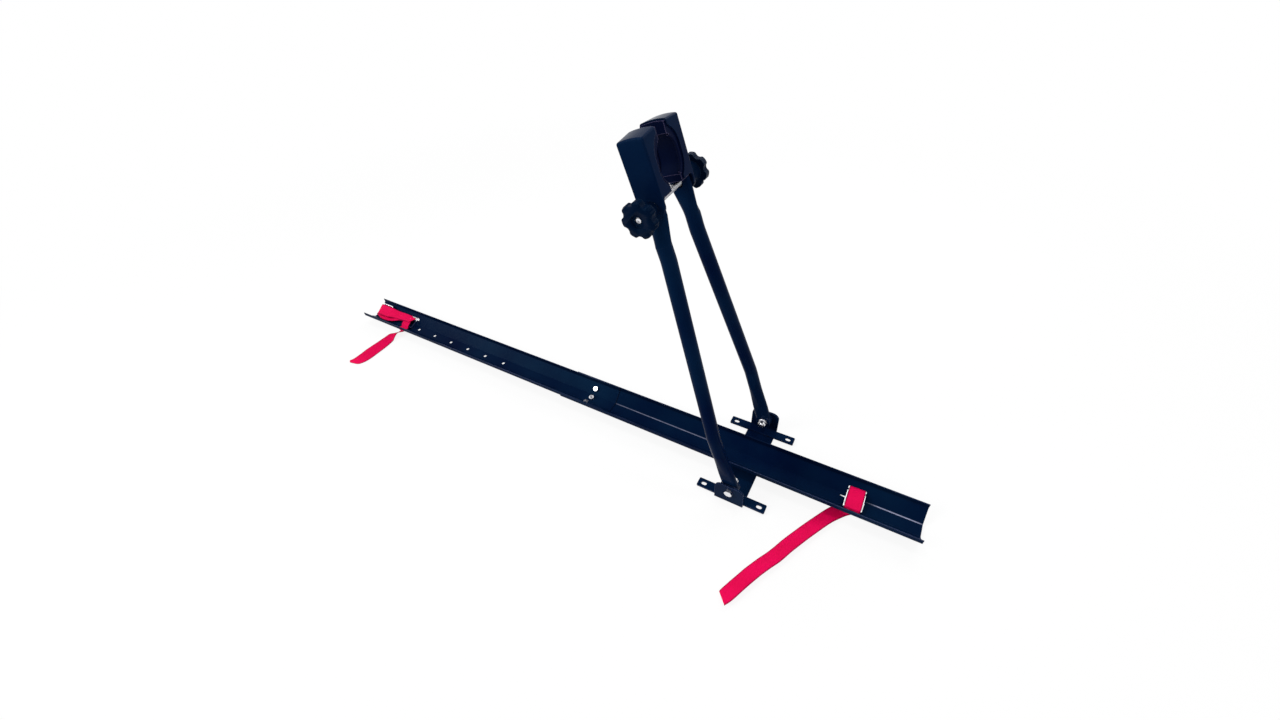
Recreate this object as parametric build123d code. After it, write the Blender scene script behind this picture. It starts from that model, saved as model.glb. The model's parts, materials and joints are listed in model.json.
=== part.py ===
from build123d import *
import os
from math import asin, atan2, cos, pi, radians, sin, sqrt, tan

# Roof bike carrier. The origin is on the underside of the base plate, below the arm pivots.
# +X runs along the wheel tray to its short end, +Y to the rear arm, +Z up. Millimetres and degrees.

# Wheel tray: two nested lengths of folded sheet channel
tray_length = 1350.0
short_end_x = 297.0
tray_sheet = 1.5
tray_floor_width = 23.0
tray_width = 70.0
tray_depth = 30.0
tray_flange = 9.0
tray_bend_radius = 3.0
tray_joint_x = -351.0
tray_overlap = 108.0

# Row of adjustment holes near the long end
floor_hole_radius = 3.5
floor_hole_pitch = 57.8
floor_hole_count = 6
floor_hole_from_end = 161.0

# Bolts that hold the two tray lengths together
joint_bolt_radius = 3.0
joint_head_radius = 6.5
joint_head_height = 2.4
joint_head_rim_height = 0.7
joint_head_top_radius = 3.3
joint_nut_width = 10.0
joint_nut_height = 5.0
joint_bolt_spare = 1.5
hexagon_corner_cut = 0.6
bolt_clearance = 0.3

# Base bracket: a folded plate with an upturned cheek at each end
base_plate = 3.0
base_width = 52.0
cheek_outer_y = 93.0
cheek_height = 50.0
cheek_corner_radius = 13.0
cheek_bend_radius = 3.5

# Clamp bars across the ends of the plate, slotted for the roof bar bolts
bar_length = 126.0
bar_width = 17.0
bar_thickness = 3.0
bar_slot_spacing = 103.0
bar_slot_length = 10.0
bar_slot_width = 7.0
bar_corner_radius = 2.0
bar_gap_to_bend = 0.1

# Arm pivots
pivot_height = 36.0
pivot_bolt_radius = 4.0
pivot_head_width = 13.0
pivot_head_height = 5.3
pivot_nut_height = 8.0
pivot_bolt_spare = 1.6
pivot_washer_radius = 8.5
pivot_washer_thickness = 1.6
sleeve_radius = 6.0
sleeve_bore_clearance = 0.1
foot_hole_clearance = 0.4
foot_side_gap = 0.4

# Arms: round tube, flattened at the foot and at the jaw
arm_tilt = 17.2
tube_radius = 11.1
tube_wall = 1.5
foot_thickness = 12.0
foot_flat_end = 36.0
foot_round_start = 86.0
arm_lower_bend = 124.0
arm_upper_bend_below_rod = 72.0
arm_top_y = 43.3
arm_bend_radius = 70.0
arm_round_below_rod = 49.0
tang_below_rod = 14.0
tang_above_rod = 38.0
tang_thickness = 9.5

# Jaws: sheet channels with a hooked top, and the rubber pads inside them
jaw_sheet = 2.0
jaw_width = 38.3
jaw_above_hollow = 11.0
jaw_crown = 1.8
jaw_cap_radius = 3.0
jaw_slope = 4.4
jaw_gap = 28.0
jaw_edge_radius = 2.5
jaw_corner_radius = 15.0
jaw_web_below_rod = 14.0
jaw_skirt_below_rod = 5.0
jaw_skirt_depth = 4.6
jaw_skirt_radius = 6.0
jaw_lip_depth = 25.5
jaw_lip_above_rod = 9.5
hollow_above_rod = 41.0
hollow_radius = 26.0
hollow_straight = 6.0
pad_proud = 4.0
pad_rise = 3.0
pad_gap = 20.0
pad_side_gap = 0.15
pad_lip_depth = 29.0
pad_above_rod = 7.5

# Clamp rod, washers and star knobs
rod_height = 492.0
rod_radius = 4.0
rod_half_length = 75.0
rod_end_chamfer = 0.8
rod_hole_clearance = 0.6
rod_slot_travel = 5.0
knob_washer_radius = 10.0
knob_washer_thickness = 1.6
knob_washer_gap = 0.35
knob_washer_clearance = 0.3
knob_radius = 23.5
knob_lobes = 7
knob_valley_radius = 6.0
knob_valley_centre = 26.0
knob_lobe_rounding = 4.0
knob_head_thickness = 11.0
knob_length = 32.5
knob_boss_radius = 11.0
knob_boss_top_radius = 15.0
knob_edge_chamfer = 2.0
knob_recess_radius = 9.0
knob_recess_depth = 3.0
knob_face_gap = 0.05
insert_radius = 6.5
insert_length = 14.0
thread_clearance = 0.06

# Wheel straps
webbing_width = 25.0
webbing_thickness = 1.5
webbing_gap = 0.3
strap_slot_length = 30.0
strap_slot_height = 6.0
strap_bend = 1.5
strap_slot_climb = 0.5
strap_fold_ease = 0.05
strap_underfloor_run = 5.0
right_strap_from_end = 107.0
right_strap_arch = 13.0
right_fold_back = 9.0
right_tail_shift = 10.5
left_strap_from_end = 128.0
left_bundle_gap = 0.4
left_bundle_length = 98.0
left_bundle_thickness = 4.5
left_bundle_climb = 0.8
ground_gap = 0.4

# Strap tails on the ground: sideways from the strap, Y and, for the left one, lift, and its twists
right_tail_start = (-0.6, -1.0)
right_tail_end = (-1.0, -2.0)
right_tail_route = [(-28.0, -42.0), (-48.0, -69.0), (-66.0, -100.0), (-98.0, -162.0), (-134.0, -238.0)]
left_tail_route = [
    (-11.0, -42.7, 3.5), (-8.0, -55.0, 4.0), (-7.5, -70.0, 5.5), (-5.5, -92.0, 7.9),
    (-6.0, -123.0, 7.0), (-17.0, -149.0, 4.5), (-41.0, -162.5, 2.5),
]
left_tail_twists = [12.0, -8.0, -22.0, -38.0, -33.0, -20.0, 10.0]
left_tail_tip_width = 8.0

# Wire buckles: a frame that the webbing is folded over, with a bar across it
wire_radius = 1.4
buckle_opening = 25.6
buckle_reach = 31.0
buckle_corner_radius = 3.5
buckle_bar_overhang = 9.5
buckle_bar_stub = 2.0
right_buckle_y = -0.5
inner_buckle_climb = 0.56
outer_buckle_climb = 0.87
outer_buckle_from_end = 27.0

# Worked out from the values above
long_end_x = short_end_x - tray_length
extension_end_x = tray_joint_x + tray_overlap / 2
main_end_x = tray_joint_x - tray_overlap / 2
right_strap_x = short_end_x - right_strap_from_end
left_strap_x = long_end_x + left_strap_from_end
floor_hole_last_x = long_end_x + floor_hole_from_end
tray_underside = base_plate
wall_run = tray_width / 2 - tray_floor_width / 2 - tray_sheet
wall_rise = tray_depth - tray_flange - tray_sheet
wall_angle = atan2(wall_rise, wall_run)
cheek_inner_y = cheek_outer_y - base_plate
foot_y = cheek_inner_y - pivot_washer_thickness - foot_side_gap - foot_thickness / 2
sleeve_length = foot_thickness + 2 * foot_side_gap
tube_outline = 2 * pi * tube_radius
tang_width = tang_thickness + (tube_outline - pi * tang_thickness) / 2
foot_width = foot_thickness + (tube_outline - pi * foot_thickness) / 2
tang_y = arm_top_y - tube_radius + tang_thickness / 2
arm_upper_bend = rod_height - arm_upper_bend_below_rod
arm_round_end = rod_height - arm_round_below_rod
arm_tang_start = rod_height - tang_below_rod
arm_tang_end = rod_height + tang_above_rod
hollow_centre = rod_height + hollow_above_rod
jaw_top = hollow_centre + hollow_straight / 2 + hollow_radius + jaw_above_hollow
web_inner_y = tang_y + tang_thickness / 2
web_outer_y = web_inner_y + jaw_sheet
tip_y = jaw_gap / 2
crown_radius = ((jaw_width / 2) ** 2 + jaw_crown**2) / (2 * jaw_crown)
buckle_span = buckle_opening + 2 * wire_radius
wire_wrap = wire_radius + webbing_gap + webbing_thickness / 2
wire_chamfer = wire_radius * (2 - sqrt(2))
buckle_half_reach = buckle_reach / 2 + 2 * wire_radius
inner_buckle_x = left_strap_x + webbing_width / 2 + wire_radius - buckle_half_reach
outer_buckle_x = long_end_x + outer_buckle_from_end
bundle_end_x = inner_buckle_x - buckle_half_reach - left_bundle_gap

parts = {}


def place_arm(shape):
    """Tilts a shape built upright, with the pivot at its origin, to its place on the carrier."""
    return Pos(0, 0, pivot_height) * Rot(0, -arm_tilt, 0) * shape


def to_front(shape):
    """The front twin of a rear piece."""
    return mirror(shape, about=Plane.XZ)


def group(shapes):
    """One sub-part made of several like pieces."""
    return Compound(children=[solid for shape in shapes for solid in shape.solids()])


def both_sides(shape):
    return group([to_front(shape), shape])


def along_x(sketch, start, length):
    """Extrudes a profile drawn in Y and Z along +X from start."""
    return extrude(Plane.YZ.offset(start) * sketch, amount=length)


def cylinder_y(radius, y_from, y_to, x=0.0, z=0.0):
    """A round bar along Y."""
    length = y_to - y_from
    return Pos(x, (y_from + y_to) / 2, z) * Rot(90, 0, 0) * Cylinder(radius, length)


def hex_prism(width, height):
    """A hexagon standing on the XY plane, with its top corners taken off."""
    block = extrude(RegularPolygon(width / 2, 6, major_radius=False), amount=height)
    return block & (Pos(0, 0, height / 2) * Cylinder(width / sqrt(3) - hexagon_corner_cut, height))


# Tray sections

def tray_line(inset, top=tray_depth):
    """Half of the tray's sheet centre line, from the middle of the floor to the lip, moved inwards."""
    low_turn = wall_angle
    high_turn = pi / 2 - wall_angle
    floor_edge = tray_floor_width / 2 + tray_sheet / 2 * tan(low_turn / 2)
    flange_y = tray_width / 2 - tray_sheet / 2
    flange_z = tray_sheet / 2 + (flange_y - floor_edge) * tan(wall_angle)
    floor_edge -= inset * tan(low_turn / 2)
    return [
        (floor_edge, tray_sheet / 2 + inset),
        (flange_y - inset, flange_z + inset * tan(high_turn / 2)),
        (flange_y - inset, top),
    ]


def tray_section(inset):
    """The folded channel's section in Y and Z, nested inwards by inset."""
    right = tray_line(inset)
    left = [(-y, z) for y, z in reversed(right)]
    line = FilletPolyline(*left, *right, radius=tray_bend_radius)
    return Pos(0, tray_underside) * trace(line, line_width=tray_sheet)


def wall_frame(x, side):
    """A plane in the middle of a slanted tray wall at x, its normal pointing out of the channel."""
    low, high, _ = tray_line(0)
    middle = Vector(x, side * (low[0] + high[0]) / 2, tray_underside + (low[1] + high[1]) / 2)
    normal = Vector(0, side * sin(wall_angle), -cos(wall_angle))
    return Plane(origin=middle, x_dir=Vector(1, 0, 0), z_dir=normal)


def floor_frame(x):
    """A plane in the middle of the tray's floor sheet, its normal pointing down."""
    middle = Vector(x, 0, tray_underside + tray_sheet / 2)
    return Plane(origin=middle, x_dir=Vector(1, 0, 0), z_dir=Vector(0, 0, -1))


def joint_frames():
    """Where the three bolts of the tray joint pass through the outer sheet."""
    return [floor_frame(tray_joint_x), wall_frame(tray_joint_x, 1), wall_frame(tray_joint_x, -1)]


def joint_holes():
    depth = 6 * tray_sheet
    drill = Cylinder(joint_bolt_radius + bolt_clearance, depth)
    return [frame * drill for frame in joint_frames()]


def strap_slot(x, side):
    """A slot through a tray wall for the webbing."""
    shape = SlotOverall(strap_slot_length, strap_slot_height)
    return wall_frame(x, side) * extrude(shape, amount=4 * tray_sheet, both=True)


def build_tray():
    main = along_x(tray_section(0), main_end_x, short_end_x - main_end_x)
    extension = along_x(tray_section(tray_sheet), long_end_x, extension_end_x - long_end_x)
    for hole in joint_holes():
        main -= hole
        extension -= hole
    for side in (-1, 1):
        main -= strap_slot(right_strap_x, side)
    extension -= strap_slot(left_strap_x, -1)
    extension -= strap_slot(left_strap_x, 1)
    for number in range(floor_hole_count):
        x = floor_hole_last_x + number * floor_hole_pitch
        extension -= Pos(x, 0, tray_underside) * Cylinder(floor_hole_radius, 6 * tray_sheet)
    parts["tray_main"] = main
    parts["tray_extension"] = extension


def build_tray_joint():
    """Mushroom head bolts from outside, with a nut inside the channel."""
    outer_face = tray_sheet / 2
    inner_face = -tray_sheet * 1.5
    bolts = []
    nuts = []
    for frame in joint_frames():
        dome = extrude(Circle(joint_head_radius), amount=joint_head_height)
        rim = dome.edges().group_by(Axis.Z)[-1]
        rim_drop = joint_head_height - joint_head_rim_height
        dome = chamfer(rim, length=rim_drop, length2=joint_head_radius - joint_head_top_radius)
        shank_length = outer_face - inner_face + joint_nut_height + joint_bolt_spare
        shank = Pos(0, 0, -shank_length / 2) * Cylinder(joint_bolt_radius, shank_length)
        bolts.append(frame * Pos(0, 0, outer_face) * (dome + shank))
        nut = hex_prism(joint_nut_width, joint_nut_height)
        nut -= Cylinder(joint_bolt_radius + thread_clearance, 3 * joint_nut_height)
        nuts.append(frame * Pos(0, 0, inner_face) * Rot(180, 0, 0) * nut)
    parts["tray_joint_bolts"] = group(bolts)
    parts["tray_joint_nuts"] = group(nuts)


# Base bracket, clamp bars and pivots

def build_base():
    middle = base_plate / 2
    half = cheek_outer_y - middle
    line = FilletPolyline(
        (-half, cheek_height), (-half, middle), (half, middle), (half, cheek_height),
        radius=cheek_bend_radius,
    )
    bracket = along_x(trace(line, line_width=base_plate), -base_width / 2, base_width)
    tops = bracket.edges().filter_by(Axis.Y).group_by(Axis.Z)[-1]
    bracket = fillet(tops, cheek_corner_radius)
    for side in (-1, 1):
        drill = cylinder_y(pivot_bolt_radius + bolt_clearance, -base_plate, base_plate)
        bracket -= Pos(0, side * (cheek_outer_y - middle), pivot_height) * drill
    parts["base_bracket"] = bracket


def build_clamp_bars():
    bend_inside = cheek_bend_radius - base_plate / 2
    bar_y = cheek_inner_y - bend_inside - bar_gap_to_bend - bar_width / 2
    shape = RectangleRounded(bar_length, bar_width, bar_corner_radius)
    for side in (-1, 1):
        slot = SlotOverall(bar_slot_length, bar_slot_width)
        shape -= Pos(side * bar_slot_spacing / 2, 0) * slot
    bar = Pos(0, bar_y, base_plate) * extrude(shape, amount=bar_thickness)
    parts["clamp_bar_rear"] = bar
    parts["clamp_bar_front"] = to_front(bar)


def build_pivots():
    """Bolt, washers, sleeve and nut of each arm pivot, from the cheek inwards."""
    outer_washer = cheek_inner_y - pivot_washer_thickness
    sleeve_end = outer_washer - sleeve_length
    inner_washer = sleeve_end - pivot_washer_thickness
    bolt_end = inner_washer - pivot_nut_height - pivot_bolt_spare
    shank = cylinder_y(pivot_bolt_radius, bolt_end, cheek_outer_y)
    head = Pos(0, cheek_outer_y, 0) * Rot(-90, 0, 0) * hex_prism(pivot_head_width, pivot_head_height)
    nut = Pos(0, inner_washer, 0) * Rot(90, 0, 0) * hex_prism(pivot_head_width, pivot_nut_height)
    nut -= cylinder_y(pivot_bolt_radius + thread_clearance, bolt_end, cheek_inner_y)
    bore = cylinder_y(pivot_bolt_radius + sleeve_bore_clearance, bolt_end, cheek_outer_y)
    washers = [
        cylinder_y(pivot_washer_radius, start, start + pivot_washer_thickness) - bore
        for start in (outer_washer, inner_washer)
    ]
    sleeve = cylinder_y(sleeve_radius, sleeve_end, outer_washer) - bore
    raised = Pos(0, 0, pivot_height)
    parts["pivot_bolts"] = both_sides(raised * (head + shank))
    parts["pivot_nuts"] = both_sides(raised * nut)
    rear = group([raised * washer for washer in washers])
    parts["pivot_washers"] = both_sides(rear)
    parts["pivot_sleeves"] = both_sides(raised * sleeve)


# Arms

def flat_section(width, thickness, y, z):
    """A flattened tube's obround section, square to the arm at height z."""
    return Plane.XY.offset(z) * Pos(0, y) * SlotOverall(width, thickness)


def round_section(radius, y, z):
    return Plane.XY.offset(z) * Pos(0, y) * Circle(radius)


def arm_line():
    """The round tube's centre line."""
    return FilletPolyline(
        (0, foot_y, foot_round_start), (0, foot_y, arm_lower_bend),
        (0, arm_top_y, arm_upper_bend), (0, arm_top_y, arm_round_end),
        radius=arm_bend_radius,
    )


def round_tube(radius):
    return sweep(round_section(radius, foot_y, foot_round_start), path=arm_line())


def rod_slot(y_from, y_to):
    """The slot that the clamp rod passes through, long along the arm."""
    width = 2 * (rod_radius + rod_hole_clearance)
    slot = SlotOverall(width + rod_slot_travel, width, rotation=90)
    frame = Plane(origin=(0, y_from, rod_height), x_dir=(1, 0, 0), z_dir=(0, 1, 0))
    return extrude(frame * slot, amount=y_to - y_from)


def build_arms():
    """Round tube between two ends pressed flat, which close its bore."""
    foot = flat_section(foot_width, foot_thickness, foot_y, 0)
    foot_top = flat_section(foot_width, foot_thickness, foot_y, foot_flat_end)
    tang = flat_section(tang_width, tang_thickness, tang_y, arm_tang_start)
    arm = round_tube(tube_radius) - round_tube(tube_radius - tube_wall)
    arm += loft([foot_top, round_section(tube_radius, foot_y, foot_round_start)], ruled=True)
    arm += loft([round_section(tube_radius, arm_top_y, arm_round_end), tang], ruled=True)
    arm += extrude(foot, amount=foot_flat_end)
    arm += extrude(tang, amount=arm_tang_end - arm_tang_start)
    arm += cylinder_y(foot_width / 2, foot_y - foot_thickness / 2, foot_y + foot_thickness / 2)
    arm -= cylinder_y(sleeve_radius + foot_hole_clearance, foot_y - foot_thickness, foot_y + foot_thickness)
    arm -= rod_slot(tang_y - tang_thickness, tang_y + tang_thickness)
    parts["arm_rear"] = place_arm(arm)
    parts["arm_front"] = to_front(parts["arm_rear"])


# Jaws and pads

def hollow_outline(grow, rise):
    """The stretched round hollow between the jaws, grown all round and raised at its top."""
    straight = hollow_straight + 2 * rise
    width = 2 * (hollow_radius + grow)
    return Pos(0, hollow_centre + rise) * SlotOverall(straight + width, width, rotation=90)


def below_crown(drop):
    """A long round bar whose top is the jaw's crowned and sloping top, lowered by drop."""
    slope = radians(jaw_slope)
    centre = (0, web_outer_y, jaw_top + jaw_crown - drop - crown_radius)
    frame = Plane(origin=centre, x_dir=(1, 0, 0), z_dir=(0, -cos(slope), sin(slope)))
    return frame * Cylinder(crown_radius, 4 * web_outer_y)


def jaw_profile():
    """The jaw's side view in Y and Z: web, hooked top, lower lip and skirt."""
    web_bottom = rod_height - jaw_web_below_rod
    skirt_y = web_outer_y - jaw_skirt_depth
    skirt_bottom = rod_height - jaw_skirt_below_rod
    lip_y = web_outer_y - jaw_lip_depth
    lip_bottom = rod_height + jaw_lip_above_rod
    over = jaw_top + jaw_width
    outline = make_face(Polyline(
        (web_outer_y, web_bottom), (web_outer_y, over), (tip_y, over), (tip_y, hollow_centre),
        (lip_y, hollow_centre), (lip_y, lip_bottom), (skirt_y, lip_bottom), (skirt_y, skirt_bottom),
        (web_inner_y, skirt_bottom), (web_inner_y, web_bottom), (web_outer_y, web_bottom),
    ))
    corner = outline.vertices().sort_by_distance((skirt_y, lip_bottom))[0]
    return fillet(corner, jaw_skirt_radius) - hollow_outline(pad_proud, pad_rise)


def build_jaws():
    jaw = along_x(jaw_profile(), -jaw_width / 2, jaw_width)
    web_edges = jaw.edges().filter_by(Axis.Z).group_by(Axis.Y)[-1]
    jaw = fillet(web_edges, jaw_edge_radius)
    bottom = rod_height - jaw_web_below_rod
    height = jaw_top + jaw_width - bottom
    front_view = Pos(0, bottom + height) * RectangleRounded(jaw_width, 2 * height, jaw_corner_radius)
    jaw &= extrude(Plane.XZ * front_view, amount=web_outer_y, both=True)
    jaw &= below_crown(0)
    side_edges = jaw.edges().filter_by(lambda e: abs(abs(e.center().X) - jaw_width / 2) < 0.01)
    jaw = fillet(side_edges.sort_by(Axis.Z)[-2:], jaw_cap_radius)
    inner_width = jaw_width - 2 * jaw_sheet
    cavity = Pos(0, 0, jaw_top) * Box(inner_width, 2 * web_inner_y, 2 * jaw_top)
    jaw -= cavity & below_crown(jaw_sheet)
    jaw -= rod_slot(web_inner_y - jaw_sheet, web_outer_y + jaw_sheet)
    parts["jaw_rear"] = place_arm(jaw)
    parts["jaw_front"] = to_front(parts["jaw_rear"])


def build_pads():
    """Rubber blocks that fill the jaws, with the gripping hollow cut through them."""
    back = web_inner_y - pad_side_gap
    step_y = tang_y - tang_thickness / 2 - pad_side_gap
    step_z = arm_tang_end + pad_side_gap
    lip_y = web_outer_y - pad_lip_depth
    pad_tip = pad_gap / 2
    bottom = rod_height + pad_above_rod
    over = jaw_top + jaw_width
    outline = make_face(Polyline(
        (step_y, bottom), (step_y, step_z), (back, step_z), (back, over), (pad_tip, over),
        (pad_tip, hollow_centre), (lip_y, hollow_centre), (lip_y, bottom), (step_y, bottom),
    ))
    width = jaw_width - 2 * jaw_sheet - 2 * pad_side_gap
    pad = along_x(outline - hollow_outline(0, 0), -width / 2, width)
    pad &= below_crown(jaw_sheet + pad_side_gap)
    parts["pad_rear"] = place_arm(pad)
    parts["pad_front"] = to_front(parts["pad_rear"])


# Clamp rod and knobs

def knob_outline():
    """A star of round lobes between round valleys."""
    star = Circle(knob_radius) - PolarLocations(knob_valley_centre, knob_lobes) * Circle(knob_valley_radius)
    return fillet(star.vertices(), knob_lobe_rounding)


def build_knob():
    """A star knob standing on the XY plane, and its threaded insert."""
    head_base = knob_length - knob_head_thickness
    head = extrude(Plane.XY.offset(head_base) * knob_outline(), amount=knob_head_thickness)
    head = chamfer(head.edges().group_by(Axis.Z)[-1], knob_edge_chamfer)
    boss_top = round_section(knob_boss_top_radius, 0, head_base)
    boss = loft([round_section(knob_boss_radius, 0, 0), boss_top])
    knob = head + boss
    recess = Cylinder(knob_recess_radius, 2 * knob_recess_depth)
    knob -= Pos(0, 0, knob_length) * recess
    knob -= Pos(0, 0, knob_length / 2) * Cylinder(rod_radius + rod_hole_clearance, knob_length)
    seat = Pos(0, 0, insert_length / 2) * Cylinder(insert_radius, insert_length)
    knob -= seat
    insert = seat - Pos(0, 0, insert_length / 2) * Cylinder(rod_radius + thread_clearance, insert_length)
    return knob, insert


def build_clamp():
    rod = cylinder_y(rod_radius, -rod_half_length, rod_half_length, z=rod_height)
    rod = chamfer(rod.edges().filter_by(GeomType.CIRCLE), rod_end_chamfer)
    parts["clamp_rod"] = place_arm(rod)
    washer_start = web_outer_y + knob_washer_gap
    washer_end = washer_start + knob_washer_thickness
    bore = cylinder_y(rod_radius + knob_washer_clearance, washer_start, washer_end)
    washer = cylinder_y(knob_washer_radius, washer_start, washer_end) - bore
    parts["knob_washer_rear"] = place_arm(Pos(0, 0, rod_height) * washer)
    parts["knob_washer_front"] = to_front(parts["knob_washer_rear"])
    for name, shape in zip(("knob", "knob_insert"), build_knob()):
        seated = Pos(0, washer_end + knob_face_gap, rod_height) * Rot(-90, 0, 0) * shape
        parts[name + "_rear"] = place_arm(seated)
        parts[name + "_front"] = to_front(parts[name + "_rear"])


# Straps and buckles

def webbing_band(points, x, width, thickness, corner):
    """Webbing that follows a line drawn in Y and Z, as wide as width about x."""
    line = FilletPolyline(*points, radius=corner)
    return along_x(trace(line, line_width=thickness), x - width / 2, width)


def wall_point(side, climb, inset):
    """A point in Y and Z beside a slanted wall: climb is the share of the wall's height."""
    low, high, _ = tray_line(inset)
    y = low[0] + climb * (high[0] - low[0])
    z = low[1] + climb * (high[1] - low[1])
    return (side * y, tray_underside + z)


def right_arch_height():
    """The centre line of the webbing where it crosses the channel over the buckle."""
    return tray_underside + tray_sheet + right_strap_arch


def build_right_strap():
    """Folded over the buckle's front wire, through the rear slot and forward under the floor."""
    inside = tray_sheet / 2 + webbing_gap + webbing_thickness / 2
    run_z = ground_gap + webbing_thickness / 2
    arch_z = right_arch_height()
    floor_edge = tray_floor_width / 2
    half_reach = buckle_reach / 2 + wire_radius
    front = right_buckle_y - half_reach
    rear = right_buckle_y + half_reach
    points = [
        (front + right_fold_back, arch_z - 2 * wire_wrap), (front - wire_wrap, arch_z - 2 * wire_wrap),
        (front - wire_wrap, arch_z), (rear + webbing_thickness, arch_z),
        wall_point(1, strap_slot_climb, inside), wall_point(1, strap_slot_climb, -inside),
        (floor_edge + strap_underfloor_run, run_z), (-floor_edge, run_z),
    ]
    fold = wire_wrap - strap_fold_ease
    radii = [fold, fold] + [strap_bend] * (len(points) - 4)
    band = webbing_band(points, right_strap_x, webbing_width, webbing_thickness, radii)
    start = (right_strap_x - right_tail_shift, -floor_edge + 1)
    route = [(right_strap_x + shift, y) for shift, y in right_tail_route]
    line = Spline(start, *route, tangents=[right_tail_start, right_tail_end])
    tail = Pos(0, 0, ground_gap) * extrude(trace(line, line_width=webbing_width), amount=webbing_thickness)
    parts["strap_right"] = band + tail


def buckle_frame(bar_overhang, bar_stub):
    """A wire frame flat about the origin, its opening along X, with a bar across it along X."""
    outer_x = buckle_opening + 4 * wire_radius
    outer = RectangleRounded(outer_x, buckle_reach + 4 * wire_radius, buckle_corner_radius)
    inner = offset(outer, -2 * wire_radius)
    frame = extrude(outer - inner, amount=wire_radius, both=True)
    frame = chamfer(frame.edges().filter_by(Axis.Z, reverse=True), wire_chamfer)
    length = buckle_span + bar_overhang + bar_stub
    bar = extrude(RegularPolygon(wire_radius, 8, rotation=22.5), amount=length / 2, both=True)
    return frame + Pos((bar_stub - bar_overhang) / 2, 0, 0) * Rot(0, 90, 0) * bar


def build_right_buckle():
    """Lies under the webbing that crosses the channel, with the bar's ends past the frame."""
    place = Pos(right_strap_x, right_buckle_y, right_arch_height() - wire_wrap)
    parts["buckle_right"] = place * buckle_frame(buckle_bar_overhang, buckle_bar_stub)


def tail_section(centre, heading, turn, width):
    """A section of webbing at centre: heading is the way it runs, turn twists its width from level."""
    frame = Plane(origin=centre, x_dir=Vector(0, 0, 1).cross(heading), z_dir=heading)
    return frame.rotated((0, 0, turn)) * Rectangle(width, webbing_thickness)


def left_tail(start):
    """The limb's free end: it lies down below the slot, leans on one edge and ends in a point."""
    rest_z = ground_gap + webbing_thickness / 2
    places = [Vector(left_strap_x, *start)]
    places += [Vector(left_strap_x + shift, y, rest_z + lift) for shift, y, lift in left_tail_route]
    headings = [Vector(0, -sin(wall_angle), -cos(wall_angle))]
    headings += [after - before for before, after in zip(places, places[2:])]
    headings.append(places[-1] - places[-2])
    turns = [0] + left_tail_twists
    widths = [webbing_width] * len(left_tail_route) + [left_tail_tip_width]
    return loft([tail_section(*stop) for stop in zip(places, headings, turns, widths)], ruled=True)


def build_left_strap():
    """Bunched along the rear wall, with one limb through the front slot to a twisted tail."""
    skin = tray_sheet * 1.5 + webbing_gap
    thick = skin + left_bundle_thickness / 2
    thin = skin + webbing_thickness / 2
    limb_edge = left_strap_x + webbing_width / 2
    floor_y = -tray_floor_width / 4
    top = left_bundle_climb
    points = [(floor_y, wall_point(1, 0, thick)[1]), wall_point(1, 0, thick), wall_point(1, top, thick)]
    middle = bundle_end_x - left_bundle_length / 2
    bundle = webbing_band(points, middle, left_bundle_length, left_bundle_thickness, left_bundle_thickness)
    points = [(floor_y, wall_point(1, 0, thin)[1]), wall_point(1, 0, thin), wall_point(1, top, thin)]
    length = limb_edge - bundle_end_x + webbing_thickness
    bundle += webbing_band(points, limb_edge - length / 2, length, webbing_thickness, strap_bend)
    slot = wall_point(-1, strap_slot_climb, -thin)
    inner_slot = wall_point(-1, strap_slot_climb, thin)
    points = [wall_point(1, 0, thin), wall_point(-1, 0, thin), inner_slot, slot]
    limb = webbing_band(points, left_strap_x, webbing_width, webbing_thickness, strap_bend)
    parts["strap_left"] = bundle + limb + left_tail(slot)


def leaning_plane(x, climb, height):
    """A plane for a frame with its upper wire on the rear wall and its lower one over the floor."""
    inset = tray_sheet * 1.5 + height
    top_y, top_z = wall_point(1, climb, inset)
    rise = top_z - wall_point(1, 0, inset)[1]
    lean = asin(rise / buckle_span)
    centre = (x, top_y - buckle_span / 2 * cos(lean), top_z - rise / 2)
    return Plane(origin=centre, x_dir=(0, cos(lean), sin(lean)), z_dir=(0, -sin(lean), cos(lean)))


def build_left_buckles():
    """One frame on the limb's single webbing, and one on top of the bunch near the tray's end."""
    wire_seat = 2 * webbing_gap + wire_radius
    inner = leaning_plane(inner_buckle_x, inner_buckle_climb, wire_seat + webbing_thickness)
    outer = leaning_plane(outer_buckle_x, outer_buckle_climb, wire_seat + left_bundle_thickness)
    parts["buckle_left_inner"] = inner * buckle_frame(0, 0)
    parts["buckle_left_outer"] = outer * buckle_frame(0, 0)


build_tray()
build_tray_joint()
build_base()
build_clamp_bars()
build_pivots()
build_arms()
build_jaws()
build_pads()
build_clamp()
build_right_strap()
build_right_buckle()
build_left_strap()
build_left_buckles()

os.makedirs("parts", exist_ok=True)
for name, shape in parts.items():
    export_step(shape, "parts/" + name + ".step")
    print(name, len(shape.solids()), round(shape.volume))
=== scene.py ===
import json
import math

import bpy
from mathutils import Matrix, Vector, noise


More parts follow.
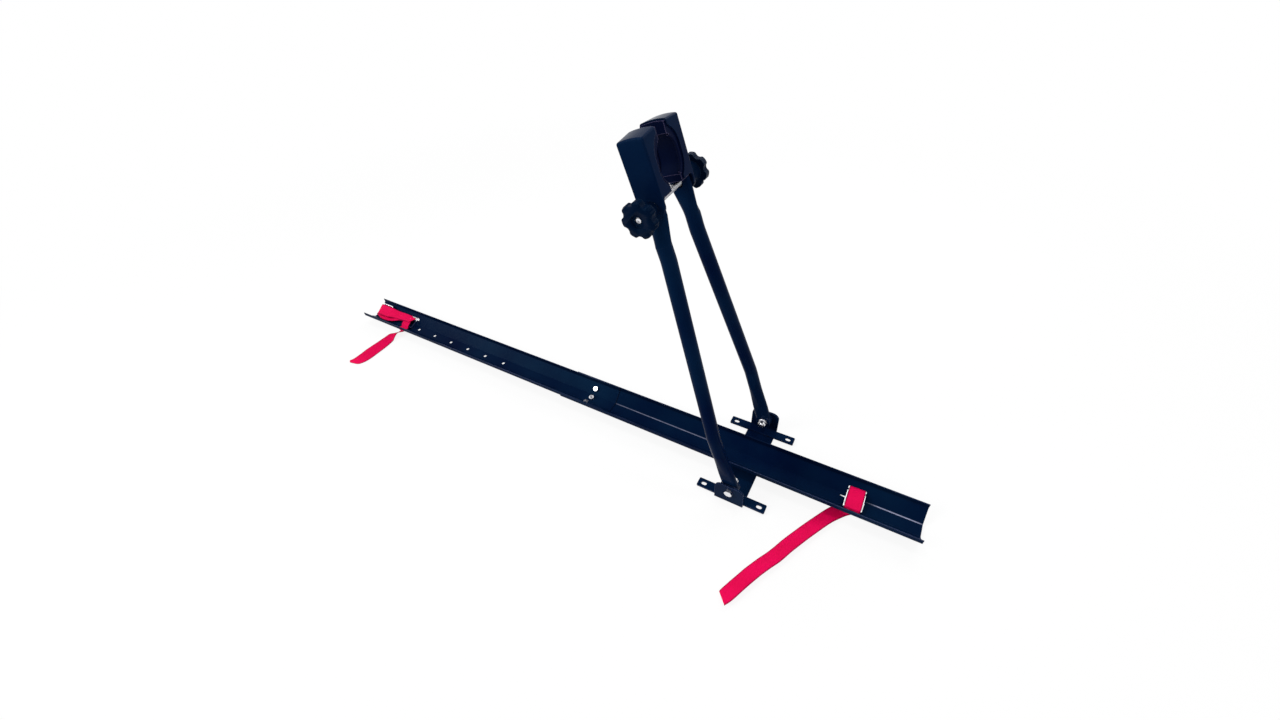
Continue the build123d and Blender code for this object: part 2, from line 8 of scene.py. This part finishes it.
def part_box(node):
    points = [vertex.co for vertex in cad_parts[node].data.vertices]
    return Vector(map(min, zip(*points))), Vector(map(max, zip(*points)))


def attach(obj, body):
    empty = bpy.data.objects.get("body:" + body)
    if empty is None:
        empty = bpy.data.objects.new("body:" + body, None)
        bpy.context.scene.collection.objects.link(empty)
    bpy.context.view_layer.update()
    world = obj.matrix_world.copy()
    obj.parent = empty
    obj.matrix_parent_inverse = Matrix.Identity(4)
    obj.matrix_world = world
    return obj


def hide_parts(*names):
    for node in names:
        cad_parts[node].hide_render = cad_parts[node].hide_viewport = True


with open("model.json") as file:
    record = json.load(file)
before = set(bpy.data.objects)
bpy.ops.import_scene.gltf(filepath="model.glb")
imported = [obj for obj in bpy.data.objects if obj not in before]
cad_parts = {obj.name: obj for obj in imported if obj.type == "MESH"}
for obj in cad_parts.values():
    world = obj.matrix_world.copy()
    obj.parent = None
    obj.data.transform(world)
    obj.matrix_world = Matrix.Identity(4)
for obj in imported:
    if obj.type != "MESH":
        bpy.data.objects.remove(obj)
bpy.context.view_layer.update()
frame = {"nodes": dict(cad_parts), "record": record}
nodes = frame["nodes"]
body_of_node = {
    node: body for body, members in frame["record"]["behaviour"]["bodies"].items() for node in members
}

# Sizes that several pieces share, in metres and radians

webbing_width = 0.025
webbing_thickness = 0.0013
thread_pitch = 0.00125
rear_bend_y = 0.0117
crease_angle = math.radians(50)
pivot_z = 0.036
rod_climb = 0.492
rod_low, rod_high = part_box("clamp_rod")
rod_x, rod_z = (rod_low[0] + rod_high[0]) / 2, (rod_low[2] + rod_high[2]) / 2
arm_tilt = math.atan2(-rod_x, rod_z - pivot_z)


# Shader helper

class Socket:
    """A node's output, on which plain arithmetic adds Math nodes."""

    def __init__(self, tree, output):
        self.tree = tree
        self.output = output

    def math(self, operation, *others, clamp=False):
        terms = {f"i{slot}": term for slot, term in enumerate((self, *others))}
        return self.tree.node("Math", settings={"operation": operation, "use_clamp": clamp}, **terms)

    def __add__(self, other):
        return self.math("ADD", other)

    def __mul__(self, other):
        return self.math("MULTIPLY", other)

    __radd__ = __add__
    __rmul__ = __mul__

    def __sub__(self, other):
        return self.math("SUBTRACT", other)

    def __rsub__(self, other):
        return self.math("MULTIPLY_ADD", -1.0, other)

    def fade(self, low, high, start=0.0, end=1.0):
        """Runs from start to end while this value runs from low to high, and holds still beyond them."""
        return self.tree.node("MapRange", Value=self, From_Min=low, From_Max=high, To_Min=start, To_Max=end)


class Shader:
    """The node tree of a material or of the world."""

    def __init__(self, owner):
        self.owner = owner
        owner.use_nodes = True
        self.nodes = owner.node_tree.nodes
        self.links = owner.node_tree.links
        self.surface = self.nodes.get("Principled BSDF") or self.nodes["Background"]
        self.place = self.node("TexCoord", out="Object")

    def put(self, item, target):
        if isinstance(item, Socket):
            self.links.new(item.output, target)
        elif target.type == "RGBA":
            target.default_value = (*item, 1.0)
        else:
            target.default_value = item

    def node(self, kind, out=0, settings=None, **inputs):
        """Adds a node. An input goes by its label, with _ for a space, or by its number, as in i0."""
        node = self.nodes.new("ShaderNode" + kind)
        for name, value in (settings or {}).items():
            setattr(node, name, value)
        for name, value in inputs.items():
            key = int(name[1:]) if name[0] == "i" and name[1:].isdigit() else name.replace("_", " ")
            self.put(value, node.inputs[key])
        return Socket(self, node.outputs[out])

    def coordinate(self, axis, of=None):
        """One axis of the place in the mesh, in metres, or of another vector."""
        return self.node("SeparateXYZ", out=axis, Vector=of or self.place)

    def noise(self, scale, detail, rough=0.55):
        return self.node("TexNoise", Vector=self.place, Scale=scale, Detail=detail, Roughness=rough)

    def mix(self, factor, a, b):
        return self.node("Mix", out=2, settings={"data_type": "RGBA"}, i0=factor, i6=a, i7=b)

    def bump(self, height, strength, distance, normal=None):
        under = {"Normal": normal} if normal else {}
        return self.node("Bump", Height=height, Strength=strength, Distance=distance, **under)

    def edges(self, radius):
        """About 1 along sharp edges and 0 on flats."""
        bevel = self.node("Bevel", settings={"samples": 6}, Radius=radius)
        plain = self.node("NewGeometry", out="Normal")
        dot = self.node("VectorMath", out="Value", settings={"operation": "DOT_PRODUCT"}, i0=bevel, i1=plain)
        return (1.0 - dot).math("MULTIPLY", 12.0, clamp=True)

    def finish(self, **inputs):
        for name, value in inputs.items():
            self.put(value, self.surface.inputs[name.replace("_", " ")])
        return self.owner


def new_finish(name):
    return Shader(bpy.data.materials.new(name))


# Finishes

def painted_bend_highlight(s, dust_and_highlight_noise):
    """A painted highlight along the tray's rear bend, in place of a lamp's reflection there: by the short
    end, and fainter on the long side.
    """
    along = s.coordinate("X")
    off_bend = (s.coordinate("Y") - rear_bend_y).math("ABSOLUTE")
    buckle_to_end = along.fade(0.205, 0.225) * along.fade(0.300, 0.290)
    joint_to_plate = along.fade(-0.310, -0.280) * along.fade(-0.050, -0.080)
    line = off_bend.fade(0.0011, 0.0005) * (buckle_to_end + joint_to_plate * 0.5)
    return line * dust_and_highlight_noise.fade(0.35, 0.6, 0.5, 0.9)


def dark_paint(name="navy_black_gloss_paint", with_bend_highlight=False):
    """Navy gloss paint with a fine peel, and painted highlights in stretches of its edges and, on the tray,
    along its rear bend.
    """
    deep_navy, lighter_navy = (0.0006, 0.0046, 0.0270), (0.0017, 0.0115, 0.0390)
    # The two pale colours on the next line are painted highlights: one for the edges, one for the tray's
    # rear bend.
    edge_highlight_colour, bend_highlight_colour = (0.10, 0.12, 0.24), (0.42, 0.44, 0.62)
    s = new_finish(name)
    peel = s.noise(700.0, 2.0)
    cloud = s.noise(7.0, 4.0)
    dust_and_highlight_noise = s.noise(45.0, 5.0, 0.65)
    stretches = s.noise(5.0, 2.0)
    # Painted highlight: pale lilac lines in stretches of the sharp edges, in place of lamp reflections.
    edge_highlight = s.edges(0.0010) * stretches.fade(0.44, 0.56, 0.12, 1.0)
    colour = s.mix(cloud.fade(0.35, 0.65), deep_navy, lighter_navy)
    colour = s.mix(edge_highlight * 0.7, colour, edge_highlight_colour)
    if with_bend_highlight:
        # Painted highlight: a pale line along the tray's rear bend.
        colour = s.mix(painted_bend_highlight(s, dust_and_highlight_noise), colour, bend_highlight_colour)
    return s.finish(
        Base_Color=colour,
        Roughness=dust_and_highlight_noise.fade(0.35, 0.75, 0.14, 0.24),
        IOR=1.075,
        Specular_Tint=(0.12, 0.50, 0.90),
        Normal=s.bump(peel, 0.04, 0.0002, s.node("Bevel", settings={"samples": 4}, Radius=0.0012)),
    )


def zinc(name, dull, clear, smoothest, roughest):
    """Zinc plate with a fine spangle between two greys."""
    s = new_finish(name)
    spangle = s.noise(420.0, 2.0)
    return s.finish(
        Base_Color=s.mix(spangle.fade(0.3, 0.7), dull, clear),
        Metallic=1.0,
        Roughness=spangle.fade(0.3, 0.7, smoothest, roughest),
    )


def threaded_zinc():
    """Zinc with a screw thread cut round the clamp rod's axis, and painted shade in the thread's grooves."""
    s = new_finish("zinc_screw_thread")
    around = (s.coordinate("Z") - rod_z).math("ARCTAN2", s.coordinate("X") - rod_x)
    ridge = (s.coordinate("Y") * (2 * math.pi / thread_pitch) + around).math("SINE")
    grime = s.noise(500.0, 3.0)
    return s.finish(
        # Painted shade: dark grey in the grooves of the thread, plain zinc on its crests.
        Base_Color=s.mix(ridge.fade(-1.0, 0.4), (0.30, 0.30, 0.33), (0.82, 0.82, 0.84)),
        Metallic=1.0,
        Roughness=grime.fade(0.3, 0.7, 0.22, 0.36),
        Normal=s.bump(ridge, 0.6, 0.0005),
    )


def zinc_with_painted_shade():
    """Zinc for the inner left frame: bright towards the rear wall, and darkened by painted shade to nearly
    black low in the channel.
    """
    s = new_finish("zinc_with_painted_shade")
    spangle = s.noise(420.0, 2.0)
    unshaded_share = s.coordinate("Y").fade(0.012, 0.016)
    return s.finish(
        # Painted shade: nearly black navy low in the channel.
        Base_Color=s.mix(unshaded_share, (0.012, 0.016, 0.045), (0.84, 0.84, 0.86)),
        Metallic=1.0,
        Roughness=spangle.fade(0.3, 0.7, 0.24, 0.36),
    )


def rubber():
    """Matt black rubber, with a painted highlight along its moulded edges."""
    s = new_finish("black_rubber")
    grain = s.noise(700.0, 4.0)
    base = s.mix(grain.fade(0.3, 0.7), (0.0005, 0.0020, 0.0160), (0.0010, 0.0036, 0.0220))
    return s.finish(
        # Painted highlight: pale lilac along the moulded edges.
        Base_Color=s.mix(s.edges(0.0008) * 0.8, base, (0.13, 0.11, 0.22)),
        Roughness=grain.fade(0.3, 0.7, 0.5, 0.65),
        IOR=1.12,
        Specular_Tint=(0.3, 0.5, 0.9),
        Normal=s.bump(grain, 0.25, 0.0003),
    )


def plastic():
    """Satin black plastic with a fine moulded grain."""
    s = new_finish("black_moulded_plastic")
    grain = s.noise(1200.0, 3.0)
    base = s.mix(grain.fade(0.3, 0.7), (0.0004, 0.0040, 0.0190), (0.0010, 0.0075, 0.0250))
    return s.finish(
        # Painted highlight: pale teal along the sharp edges of the moulding.
        Base_Color=s.mix(s.edges(0.0006) * 0.5, base, (0.05, 0.09, 0.14)),
        Roughness=grain.fade(0.3, 0.7, 0.34, 0.46),
        IOR=1.09,
        Specular_Tint=(0.15, 0.50, 0.75),
        Normal=s.bump(grain, 0.12, 0.0002),
    )


def webbing():
    """Woven tape: ribs that lean back from its middle, lines of warp and painted shade along each edge."""
    rib_pitch, warp_pitch = 0.0017, 0.0011
    s = new_finish("red_webbing")
    cloth = s.node("UVMap", settings={"uv_map": "cloth"})
    across = s.coordinate("X", cloth)
    off_middle = (across - webbing_width / 2).math("ABSOLUTE")
    rib = ((s.coordinate("Y", cloth) + off_middle * 0.6) * (2 * math.pi / rib_pitch)).math("SINE")
    warp = (across * (2 * math.pi / warp_pitch)).math("SINE")
    weave = rib * 0.6 + warp * 0.4
    edge_shade = off_middle.fade(0.0104, 0.0119)
    fuzz = s.noise(1500.0, 3.0)
    shade = s.noise(35.0, 3.0).fade(0.35, 0.65)
    light = s.mix(shade, (0.88, 0.0, 0.088), (0.95, 0.0, 0.106))
    dark = s.mix(shade, (0.61, 0.0, 0.057), (0.69, 0.0, 0.068))
    base = s.mix(weave.fade(-0.8, 0.5), dark, light)
    return s.finish(
        # Painted shade: darker red along both edges of the tape.
        Base_Color=s.mix(edge_shade * 0.75, base, (0.30, 0.0, 0.045)),
        Roughness=fuzz.fade(0.3, 0.7, 0.62, 0.78),
        Specular_IOR_Level=0.08,
        Normal=s.bump(weave, 0.35, 0.0004, s.bump(fuzz, 0.2, 0.0002)),
    )


finish_of_slot = {
    "dark_paint": dark_paint(),
    "zinc": zinc("bright_zinc", (0.72, 0.72, 0.74), (0.86, 0.86, 0.88), 0.20, 0.34),
    "black_rubber": rubber(),
    "black_plastic": plastic(),
    "red_webbing": webbing(),
}
for entry in frame["record"]["subparts"]:
    mesh = nodes[entry["node"]].data
    mesh.materials.clear()
    mesh.materials.append(finish_of_slot[entry["material_slot"]])
own_finishes = {
    "clamp_rod": threaded_zinc(),
    "tray_joint_bolts": zinc("smoky_zinc", (0.20, 0.20, 0.23), (0.30, 0.30, 0.33), 0.30, 0.44),
    "tray_main": dark_paint("tray_paint", with_bend_highlight=True),
}
for node, finish in own_finishes.items():
    nodes[node].data.materials[0] = finish


# Ways of making a piece

def select_alone(piece):
    bpy.ops.object.select_all(action="DESELECT")
    piece.select_set(True)
    bpy.context.view_layer.objects.active = piece


def rounded_copy(node, name, crease=crease_angle):
    """Replaces a CAD node by a copy whose merged faces are shaded as one smooth surface."""
    piece = bpy.data.objects.new(name, nodes[node].data.copy())
    bpy.context.collection.objects.link(piece)
    select_alone(piece)
    bpy.ops.object.mode_set(mode="EDIT")
    bpy.ops.mesh.select_all(action="SELECT")
    bpy.ops.mesh.remove_doubles(threshold=0.00001)
    bpy.ops.mesh.dissolve_limited(angle_limit=math.radians(0.5))
    bpy.ops.object.mode_set(mode="OBJECT")
    bpy.ops.object.shade_smooth_by_angle(angle=crease)
    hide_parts(node)
    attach(piece, body_of_node[node])
    return piece


def settle(piece, body, slot):
    """Brings a new piece to the origin with its place in its mesh, smooth, finished and on its body."""
    select_alone(piece)
    bpy.ops.object.transform_apply(location=True, rotation=True, scale=True)
    bpy.ops.object.shade_smooth_by_angle(angle=crease_angle)
    piece.data.materials.append(finish_of_slot[slot])
    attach(piece, body)


def weld_bead(name, start, end, radius, body):
    """A rippled bead: a disc is extruded along the seam, wide and narrow by turns, with small ends."""
    end_share, dip_share = 0.55, 0.8
    seam = end - start
    ripples = round(seam.length / radius)
    rings = 2 * ripples
    step = seam / rings
    bpy.ops.object.select_all(action="DESELECT")
    bpy.ops.mesh.primitive_circle_add(
        vertices=12, radius=end_share * radius, fill_type="NGON", location=start,
        rotation=seam.to_track_quat("Z", "Y").to_euler(),
    )
    bead = bpy.context.object
    bead.name = name
    bpy.ops.object.mode_set(mode="EDIT")
    bpy.ops.mesh.select_all(action="SELECT")
    for ring in range(1, rings + 1):
        bpy.ops.mesh.extrude_region_move(TRANSFORM_OT_translate={"value": step})
        grow = 1.0 / dip_share if ring % 2 else dip_share
        if ring == 1:
            grow = 1.0 / end_share
        if ring == rings:
            grow = end_share
        bpy.ops.transform.resize(value=(grow, grow, grow), center_override=start + step * ring)
    bpy.ops.mesh.select_all(action="SELECT")
    bpy.ops.mesh.normals_make_consistent(inside=False)
    bpy.ops.object.mode_set(mode="OBJECT")
    settle(bead, body, "dark_paint")


# Webbing

def mm(*values):
    """A point given in millimetres."""
    return Vector([value / 1000.0 for value in values])


def through(points, steps):
    """A smooth line through the points, with some steps between each two."""
    line = []
    last = len(points) - 1
    for i in range(last):
        p0, p1 = points[max(i - 1, 0)], points[i]
        p2, p3 = points[i + 1], points[min(i + 2, last)]
        for k in range(steps):
            t = k / steps
            line.append(
                0.5 * (2 * p1 + (p2 - p0) * t + (2 * p0 - 5 * p1 + 4 * p2 - p3) * t * t
                       + (3 * p1 - p0 - 3 * p2 + p3) * t ** 3)
            )
    line.append(points[-1].copy())
    return line


def tape(name, rows, crumple):
    """Webbing whose two edges run smoothly through the pairs of points in rows, and its length."""
    steps, columns, crumples_per_metre = 6, 8, 55.0
    left = through([row[0] for row in rows], steps)
    right = through([row[1] for row in rows], steps)
    middle = [(a + b) / 2 for a, b in zip(left, right)]
    points, marks, length = [], [], 0.0
    for i, (a, b) in enumerate(zip(left, right)):
        if i:
            length += (middle[i] - middle[i - 1]).length
        along = middle[min(i + 1, len(middle) - 1)] - middle[max(i - 1, 0)]
        normal = (b - a).cross(along).normalized()
        for k in range(columns + 1):
            u = k / columns
            spot = a.lerp(b, u)
            rise = crumple * noise.noise(spot * crumples_per_metre) * (0.4 + 2.4 * u * (1 - u))
            points.append(spot + normal * rise)
            marks.append((webbing_width * u, length))
    across = columns + 1
    faces = [
        (i * across + k, i * across + k + 1, (i + 1) * across + k + 1, (i + 1) * across + k)
        for i in range(len(left) - 1) for k in range(columns)
    ]
    mesh = bpy.data.meshes.new(name)
    mesh.from_pydata([tuple(p) for p in points], [], faces)
    layer = mesh.uv_layers.new(name="cloth")
    for loop in mesh.loops:
        layer.data[loop.index].uv = marks[loop.vertex_index]
    mesh.materials.append(finish_of_slot["red_webbing"])
    piece = bpy.data.objects.new(name, mesh)
    bpy.context.collection.objects.link(piece)
    select_alone(piece)
    thick = piece.modifiers.new("thickness", "SOLIDIFY")
    thick.thickness = webbing_thickness
    thick.offset = 0.0
    soft = piece.modifiers.new("soft edges", "BEVEL")
    soft.width = 0.0003
    soft.segments = 2
    soft.limit_method = "ANGLE"
    soft.angle_limit = crease_angle
    for modifier in ("thickness", "soft edges"):
        bpy.ops.object.modifier_apply(modifier=modifier)
    bpy.ops.object.shade_smooth_by_angle(angle=crease_angle)
    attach(piece, "base")
    return piece, length


def lying_rows(stops, lead):
    """Rows of a limb from (x, y, z, twist, width) stops in millimetres and degrees.

    The limb comes from lead, an (x, y) place, and a positive twist lifts the edge at +X.
    """
    rows = []
    for i, (x, y, z, twist, width) in enumerate(stops):
        x0, y0 = stops[i - 1][:2] if i else lead
        x1, y1 = stops[i + 1][:2] if i + 1 < len(stops) else (x, y)
        run = Vector((x1 - x0, y1 - y0)).normalized()
        half = width / 2
        tilt = math.radians(twist)
        side = Vector((-run.y * math.cos(tilt), run.x * math.cos(tilt), math.sin(tilt))) * half
        centre = Vector((x, y, z))
        rows.append(((centre - side) / 1000, (centre + side) / 1000))
    return rows


def right_strap():
    """Folded over its buckle's front wire, then to the rear slot and back under the floor to its tail."""
    near_x, far_x = 177.0, 203.2
    fold = [
        (-8.4, 12.5), (-13.0, 12.5), (-17.6, 12.6), (-19.3, 13.4), (-19.95, 15.05), (-19.3, 16.8),
        (-17.4, 17.6), (-9.0, 17.9), (0.0, 18.3), (9.0, 18.3), (17.0, 18.6), (21.4, 18.4),
        (23.6, 16.6), (25.2, 14.2), (24.2, 8.0), (19.6, 3.4), (14.5, 1.6), (8.0, 1.2), (2.0, 1.2),
    ]
    rows = [(mm(near_x, y, z), mm(far_x, y, z)) for y, z in fold]
    under_floor = [
        (189.0, -4.0, 1.3, 1, 25), (183.5, -11.0, 1.5, 2, 25), (174.5, -20.5, 2.2, 4, 25),
        (163.0, -36.0, 3.4, 10, 25),
    ]
    rows += lying_rows(under_floor, (190.0, 2.0))
    low_z, high_z = 1.2, 8.0
    high_edge_x, high_edge_y = 21.4, -11.0
    low_edge = [
        (143.5, -44.9), (130.0, -68.5), (117.1, -92.4), (104.7, -116.6), (93.1, -141.7), (80.8, -163.4),
        (69.1, -185.7), (58.4, -209.2), (48.1, -232.7),
    ]
    rows += [(mm(x, y, low_z), mm(x + high_edge_x, y + high_edge_y, high_z)) for x, y in low_edge]
    rows.append((mm(46.1, -239.3, low_z), mm(61.6, -256.5, 7.0)))
    piece, length = tape("right_wheel_strap", rows, crumple=0.0008)
    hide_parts("strap_right")


def left_strap():
    """One limb goes through the front slot to its tail, and the rest lies folded over the outer frame."""
    limb = [
        (-957.0, 21.5, 21.0), (-955.0, 14.5, 18.2), (-951.0, 4.0, 14.2), (-947.0, -7.2, 11.9),
        (-941.0, -13.0, 12.0), (-938.5, -17.7, 13.6), (-937.5, -20.8, 16.0),
    ]
    rows = [(mm(x, y, z), mm(x + 25.0, y, z)) for x, y, z in limb]
    rows.append((mm(-935.0, -25.3, 11.0), mm(-917.0, -25.3, 11.4)))
    neck = [
        (-928.0, -28.5, 9.8, 22, 17), (-932.0, -34.0, 9.0, 32, 17), (-936.0, -42.0, 7.8, 18, 21),
        (-938.5, -51.0, 6.0, -4, 25),
    ]
    rows += lying_rows(neck, (-926.5, -26.0))
    tail = [
        ((-950.0, -64.2, 8.2), (-927.0, -60.0, 1.3)), ((-946.6, -85.4, 12.2), (-924.6, -83.0, 1.2)),
        ((-948.5, -108.7, 12.5), (-925.3, -103.0, 1.2)), ((-949.8, -120.1, 12.2), (-925.7, -119.8, 1.2)),
        ((-950.8, -132.0, 11.2), (-927.5, -137.0, 1.2)), ((-954.0, -142.4, 9.2), (-933.4, -149.7, 1.2)),
        ((-959.6, -151.2, 6.2), (-942.0, -157.5, 1.2)), ((-968.5, -157.8, 2.4), (-963.8, -162.0, 1.4)),
    ]
    rows += [(mm(*raised), mm(*low)) for raised, low in tail]
    piece, length = tape("left_wheel_strap", rows, crumple=0.0010)
    bunch = [
        ((-914.5, 18.0, 20.8), (-931.0, 2.5, 15.5)), ((-925.0, 18.6, 21.2), (-938.0, 2.5, 15.8)),
        ((-938.0, 20.4, 22.2), (-946.0, 2.0, 15.6)), ((-952.0, 20.8, 22.4), (-956.0, 2.0, 14.2)),
        ((-973.0, 20.6, 21.8), (-974.0, 1.5, 13.0)), ((-990.0, 20.4, 22.4), (-988.0, -1.0, 13.6)),
        ((-1003.0, 20.0, 25.0), (-1001.0, -4.0, 14.2)), ((-1014.0, 19.6, 26.6), (-1012.0, -5.5, 13.4)),
        ((-1028.0, 19.6, 26.7), (-1027.0, -5.5, 13.5)), ((-1040.0, 19.4, 26.6), (-1040.0, -5.4, 13.4)),
        ((-1046.4, 19.2, 25.6), (-1045.6, -5.8, 12.8)), ((-1048.4, 18.2, 22.6), (-1047.4, -7.0, 11.2)),
        ((-1046.6, 14.5, 16.0), (-1044.6, -7.5, 9.8)), ((-1038.0, 9.5, 9.2), (-1036.0, -10.4, 9.7)),
        ((-1026.0, 6.5, 8.3), (-1022.0, -15.0, 11.8)), ((-1010.0, 5.5, 8.2), (-1008.0, -17.0, 13.2)),
        ((-996.0, 7.5, 9.2), (-996.0, -14.8, 12.4)), ((-984.0, 11.0, 11.2), (-982.0, -9.5, 11.0)),
        ((-972.0, 15.0, 14.2), (-973.0, -3.5, 10.6)), ((-962.0, 17.6, 16.4), (-965.0, 1.5, 10.2)),
        ((-951.0, 18.6, 17.6), (-954.0, 3.5, 9.8)),
    ]
    rows = [(mm(*rear), mm(*front)) for rear, front in bunch]
    bundle, length = tape("left_strap_bunch", rows, crumple=0.0016)
    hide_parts("strap_left")
    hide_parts("strap_left")


right_strap()
left_strap()


# Wire buckles and star knobs

for node in ("buckle_left_inner", "buckle_left_outer", "buckle_right"):
    wire = rounded_copy(node, node + "_wire", crease=math.radians(60))
    if node == "buckle_left_inner":
        # The inner left frame takes zinc with painted shade low in the channel.
        wire.data.materials[0] = zinc_with_painted_shade()
for node in ("knob_front", "knob_rear"):
    rounded_copy(node, node + "_moulding")


# Weld beads and the rims of the rubber pads

# The side along Y, the word in the names and the body of each arm
both_arms = ((-1, "front", "front_arm"), (1, "rear", "rear_arm"))


def on_arm(x, y, climb):
    """A point of the clamp head: across the arm, along Y, and up along the arm from the pivot."""
    return Vector((
        x * math.cos(arm_tilt) - climb * math.sin(arm_tilt), y,
        pivot_z + x * math.sin(arm_tilt) + climb * math.cos(arm_tilt),
    ))


def weld_beads():
    """Beads where the tray and the clamp bars meet the base plate, and where the jaws meet the arms."""
    tray_half, tray_edge, tray_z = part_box("base_bracket")[1][0] - 0.004, 0.0132, 0.0034
    bar_low, bar_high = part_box("clamp_bar_front")
    bar_half, bar_edge, bar_z = 0.014, -bar_high[1], bar_low[2] + 0.0005
    flat_end_thickness, bead_sink = 0.0095, 0.0006
    jaw_edge = -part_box("arm_front")[1][1] + flat_end_thickness + bead_sink
    jaw_half, jaw_bottom = 0.0105, rod_climb - 0.0144
    for side, end, body in both_arms:
        weld_bead(
            "tray_weld_" + end, Vector((-tray_half, side * tray_edge, tray_z)),
            Vector((tray_half, side * tray_edge, tray_z)), radius=0.0014, body="base",
        )
        weld_bead(
            "bar_weld_" + end, Vector((-bar_half, side * bar_edge, bar_z)),
            Vector((bar_half, side * bar_edge, bar_z)), radius=0.0012, body="base",
        )
        weld_bead(
            "jaw_weld_" + end, on_arm(-jaw_half, side * jaw_edge, jaw_bottom),
            on_arm(jaw_half, side * jaw_edge, jaw_bottom), radius=0.0013, body=body,
        )


def pad_rims():
    """The moulded rims of each pad's hollow: a disc is spun up one arc, extruded, and spun up the other."""
    hollow_radius, rim_radius, rim_x = 0.026, 0.0019, 0.0154
    low, high = rod_climb + 0.038, rod_climb + 0.044
    first, last = math.radians(-52), math.radians(58)
    tilted = Matrix.Translation((0, 0, pivot_z)) @ Matrix.Rotation(-arm_tilt, 4, "Y")
    for side, end, body in both_arms:
        for edge, x in (("near", rim_x), ("far", -rim_x)):
            spot = (x, side * hollow_radius * math.cos(first), low + hollow_radius * math.sin(first))
            bpy.ops.object.select_all(action="DESELECT")
            bpy.ops.mesh.primitive_circle_add(
                vertices=10, radius=rim_radius, fill_type="NGON", location=spot,
                rotation=(side * first, 0, 0),
            )
            rim = bpy.context.object
            rim.name = f"pad_rim_{end}_{edge}"
            bpy.ops.object.transform_apply(location=True, rotation=True, scale=True)
            bpy.ops.object.mode_set(mode="EDIT")
            bpy.ops.mesh.select_all(action="SELECT")
            bpy.ops.mesh.spin(steps=8, angle=side * first, center=(x, 0, low), axis=(1, 0, 0))
            bpy.ops.mesh.extrude_region_move(TRANSFORM_OT_translate={"value": (0, 0, high - low)})
            bpy.ops.mesh.spin(steps=9, angle=side * last, center=(x, 0, high), axis=(-1, 0, 0))
            bpy.ops.mesh.select_all(action="SELECT")
            bpy.ops.mesh.normals_make_consistent(inside=False)
            bpy.ops.object.mode_set(mode="OBJECT")
            rim.matrix_world = tilted
            settle(rim, body, "black_rubber")


weld_beads()
pad_rims()


# Stage, light and camera

def seen_or_mirrored(s):
    """1 for what the camera sees and what shows in gloss or glass, and 0 for light that falls on things."""
    share = s.node("LightPath", out="Is Camera Ray")
    for ray in ("Is Glossy Ray", "Is Transmission Ray"):
        share = share.math("MAXIMUM", s.node("LightPath", out=ray))
    return share


def add_stage():
    """A white surround, and a floor that shows nearly white under the object and white further out."""
    world = bpy.data.worlds.new("studio")
    bpy.context.scene.world = world
    s = Shader(world)
    s.finish(Color=(1, 1, 1), Strength=seen_or_mirrored(s).fade(0.0, 1.0, 0.42, 1.0))

    bpy.ops.mesh.primitive_plane_add(size=12.0, location=(0, 0, -0.0005))
    floor = bpy.context.object
    floor.name = "floor"
    middle = (-0.4, -0.1, 0.0)
    s = new_finish("pale_floor")
    away = s.node("VectorMath", out="Value", settings={"operation": "DISTANCE"}, i0=s.place, i1=middle)
    share = seen_or_mirrored(s) * away.fade(0.9, 2.0, 0.88, 1.0)
    glow = s.node("Emission", Strength=1.0)
    lit = Socket(s, s.surface.outputs[0])
    s.put(s.node("MixShader", i0=share, i1=lit, i2=glow), s.nodes["Material Output"].inputs["Surface"])
    floor.data.materials.append(s.finish(Base_Color=(1, 1, 1), Roughness=0.9))


def add_light(name, place, aim, size, power):
    """A rectangular lamp turned to its aim, with places and size in metres and power in watts."""
    light = bpy.data.lights.new(name, "AREA")
    light.shape = "RECTANGLE"
    light.size, light.size_y = size
    light.energy = power
    lamp = bpy.data.objects.new(name, light)
    bpy.context.collection.objects.link(lamp)
    lamp.location = place
    lamp.rotation_euler = (Vector(aim) - Vector(place)).to_track_quat("-Z", "Y").to_euler()


def add_camera():
    """The photograph's own viewpoint, from a perspective fit."""
    focal_length_px, picture_width_px, sensor_mm = 489.65, 1280.0, 36.0
    data = bpy.data.cameras.new("camera")
    data.sensor_width = sensor_mm
    data.lens = focal_length_px / picture_width_px * sensor_mm
    data.clip_start = 0.01
    camera = bpy.data.objects.new("camera", data)
    bpy.context.collection.objects.link(camera)
    right = Vector((0.86606, 0.49386, -0.07772))
    down = Vector((0.29893, -0.63614, -0.71131))
    ahead = Vector((-0.40073, 0.59281, -0.69857))
    turn = Matrix((right, -down, -ahead)).transposed().to_4x4()
    camera.matrix_world = Matrix.Translation((0.13648, -0.52041, 0.79246)) @ turn
    bpy.context.scene.camera = camera


add_stage()
add_light("key", (-3.0, -2.4, 2.8), (-0.3, 0, 0.1), (2.0, 2.0), 100.0)
add_light("fill", (1.8, -0.6, 1.2), (0, 0, 0.2), (1.4, 1.4), 3.0)
add_light("bend_left", (-0.7, 0.2, 1.5), (-0.25, 0, 0), (0.25, 0.25), 4.0)
add_light("bend_right", (0.44, 0.2, 1.5), (0.2, 0, 0), (0.2, 0.2), 3.0)
add_light("rim", (0.2, 1.8, 1.6), (-0.2, 0, 0.2), (2.0, 1.0), 14.0)
add_camera()
bpy.context.scene.view_settings.view_transform = "Standard"
